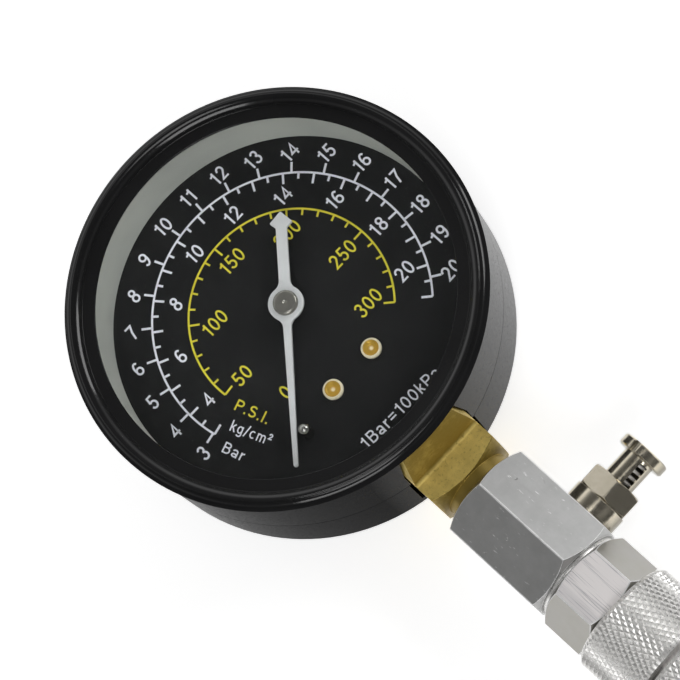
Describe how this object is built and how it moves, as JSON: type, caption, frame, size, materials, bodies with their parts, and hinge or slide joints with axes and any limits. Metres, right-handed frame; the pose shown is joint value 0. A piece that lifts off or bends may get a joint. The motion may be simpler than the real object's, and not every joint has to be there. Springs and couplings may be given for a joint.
{
  "type": "compression tester gauge",
  "caption": "Engine compression gauge: round black dial gauge on a brass socket, hex tee with push-button release valve and a knurled swivel hose coupling.",
  "frame": {"origin": "centre of the flat back of the case, on the gauge's axis", "axes": "+Z out of the dial, -Y along the stem towards the hose coupling, +X towards the release valve"},
  "size_m": [0.08, 0.1518, 0.0324],
  "materials": {
    "case_black": "satin to gloss black, smooth moulding",
    "lens_clear": "clear, polished",
    "gasket_pale": "matt pale grey",
    "spacer_grey": "matt pale grey",
    "dial_black": "matt black with white and yellow print",
    "pointer_white": "matt white",
    "socket_brass": "milled, aged and slightly tarnished",
    "movement_brass": "stamped and turned",
    "screw_brass": "bright turned",
    "steel": "turned, bright",
    "valve_nickel": "warm nickel plate, bright turned",
    "tee_aluminium": "satin, drawn bar with small nicks",
    "coupling_aluminium": "bright turned, diamond knurl on the grips",
    "seal_rubber": "matt black"
  },
  "bodies": {
    "gauge": {"case_back": "case_black", "case_front": "case_black", "bezel": "case_black", "lens": "lens_clear", "lens_gasket": "gasket_pale", "spacer_ring": "spacer_grey", "dial": "dial_black", "dial_posts": "movement_brass", "dial_screws": "screw_brass", "stop_pin": "steel", "socket": "socket_brass", "case_screws": "steel", "restrictor": "movement_brass", "bourdon_tube": "movement_brass", "hairspring": "steel", "hairspring_stud": "movement_brass", "back_plate": "movement_brass", "front_plate": "movement_brass", "pillars": "movement_brass", "movement_screws": "steel", "tee": "tee_aluminium", "valve_body": "valve_nickel", "valve_spring": "steel", "sealing_washer": "tee_aluminium", "coupling_body": "coupling_aluminium", "grip_collar": "coupling_aluminium", "snap_ring": "steel", "nose_seal": "seal_rubber"},
    "sector": {"sector_gear": "movement_brass", "sector_arbor": "steel", "link_pin": "steel"},
    "pointer": {"pinion": "steel", "pointer_hub": "steel", "pointer": "pointer_white"},
    "link": {"link": "movement_brass"},
    "tip": {"tube_tip": "movement_brass", "tip_pin": "steel"},
    "button": {"release_button": "valve_nickel", "valve_stem": "steel", "valve_seal": "seal_rubber"},
    "nut": {"swivel_nut": "coupling_aluminium"}
  },
  "joints": [
    {"name": "sector_swing", "type": "hinge", "parent": "gauge", "child": "sector", "pos_m": [0.01196, -0.01056, 0.0105], "axis": [0, 0, 1], "range_deg": [0, 30.28], "stiffness_Nm_per_rad": 0.01, "springref_deg": -2.86},
    {"name": "pointer_turn", "type": "hinge", "parent": "gauge", "child": "pointer", "pos_m": [0.00065, 0.00075, 0.0213], "axis": [0, 0, 1], "range_deg": [-272.6, 0], "deforming": ["hairspring"]},
    {"name": "link_pivot", "type": "hinge", "parent": "sector", "child": "link", "pos_m": [0.01834, -0.01227, 0.0117], "axis": [0, 0, 1], "range_deg": [-34.2, 0]},
    {"name": "tip_flex", "type": "slide", "parent": "gauge", "child": "tip", "axis": [0.2588, 0.9659, 0], "range_m": [0, 0.0034], "deforming": ["bourdon_tube"]},
    {"name": "button_press", "type": "slide", "parent": "gauge", "child": "button", "axis": [-1, 0, 0], "range_m": [0, 0.003], "stiffness_N_per_m": 800, "springref_m": -0.002, "deforming": ["valve_spring"]},
    {"name": "nut_swivel", "type": "hinge", "parent": "gauge", "child": "nut", "pos_m": [0, -0.1058, 0.012], "axis": [0, 1, 0], "continuous": true}
  ],
  "couplings": [
    {"joint": "pointer_turn", "follows": "sector_swing", "ratio": -9},
    {"joint": "link_pivot", "follows": "sector_swing", "ratio": -1.1259},
    {"joint": "tip_flex", "follows": "sector_swing", "m_per_rad": 0.0062655}
  ]
}
